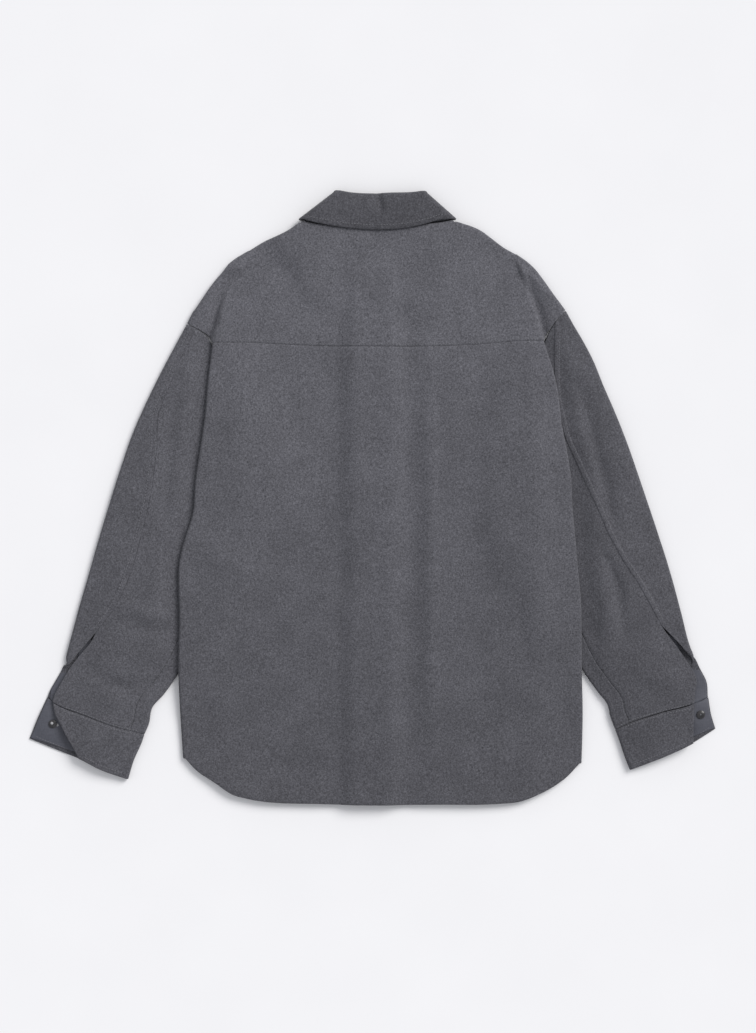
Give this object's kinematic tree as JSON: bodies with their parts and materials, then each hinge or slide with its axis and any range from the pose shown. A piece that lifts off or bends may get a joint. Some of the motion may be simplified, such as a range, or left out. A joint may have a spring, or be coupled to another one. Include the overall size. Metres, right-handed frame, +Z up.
{
  "type": "shirt-jacket",
  "caption": "Long-sleeved wool shirt-jacket lying flat with its back up, with a turned-down collar, a back yoke, a curved hem and open buttoned cuffs.",
  "frame": {"origin": "centre of the bounding box at its underside, on the floor that the garment lies on", "axes": "+X across the garment towards its right sleeve as seen, +Y from the hem towards the collar, +Z up from the floor out of the back"},
  "size_m": [0.8912, 0.7968, 0.0156],
  "materials": {
    "wool": "heathered mid-grey melton wool",
    "facing": "smooth dark navy-grey facing cloth",
    "button": "dark horn-like, softly glossy"
  },
  "bodies": {
    "root": {"back_panel": "wool", "back_yoke": "wool", "front_left": "wool", "front_right": "wool", "collar_stand": "wool", "collar_fall": "wool", "sleeve_left_top": "wool", "sleeve_left_under": "wool", "sleeve_right_top": "wool", "sleeve_right_under": "wool", "cuff_left": "wool", "cuff_right": "wool", "slit_facing_left": "facing", "slit_facing_right": "facing", "cuff_facing_left": "facing", "cuff_facing_right": "facing", "front_button_1": "button", "front_button_2": "button", "front_button_3": "button", "front_button_4": "button", "front_button_5": "button", "front_button_6": "button", "cuff_button_left": "button", "cuff_button_right": "button", "cuff_backing_left": "button", "cuff_backing_right": "button"}
  },
  "joints": []
}
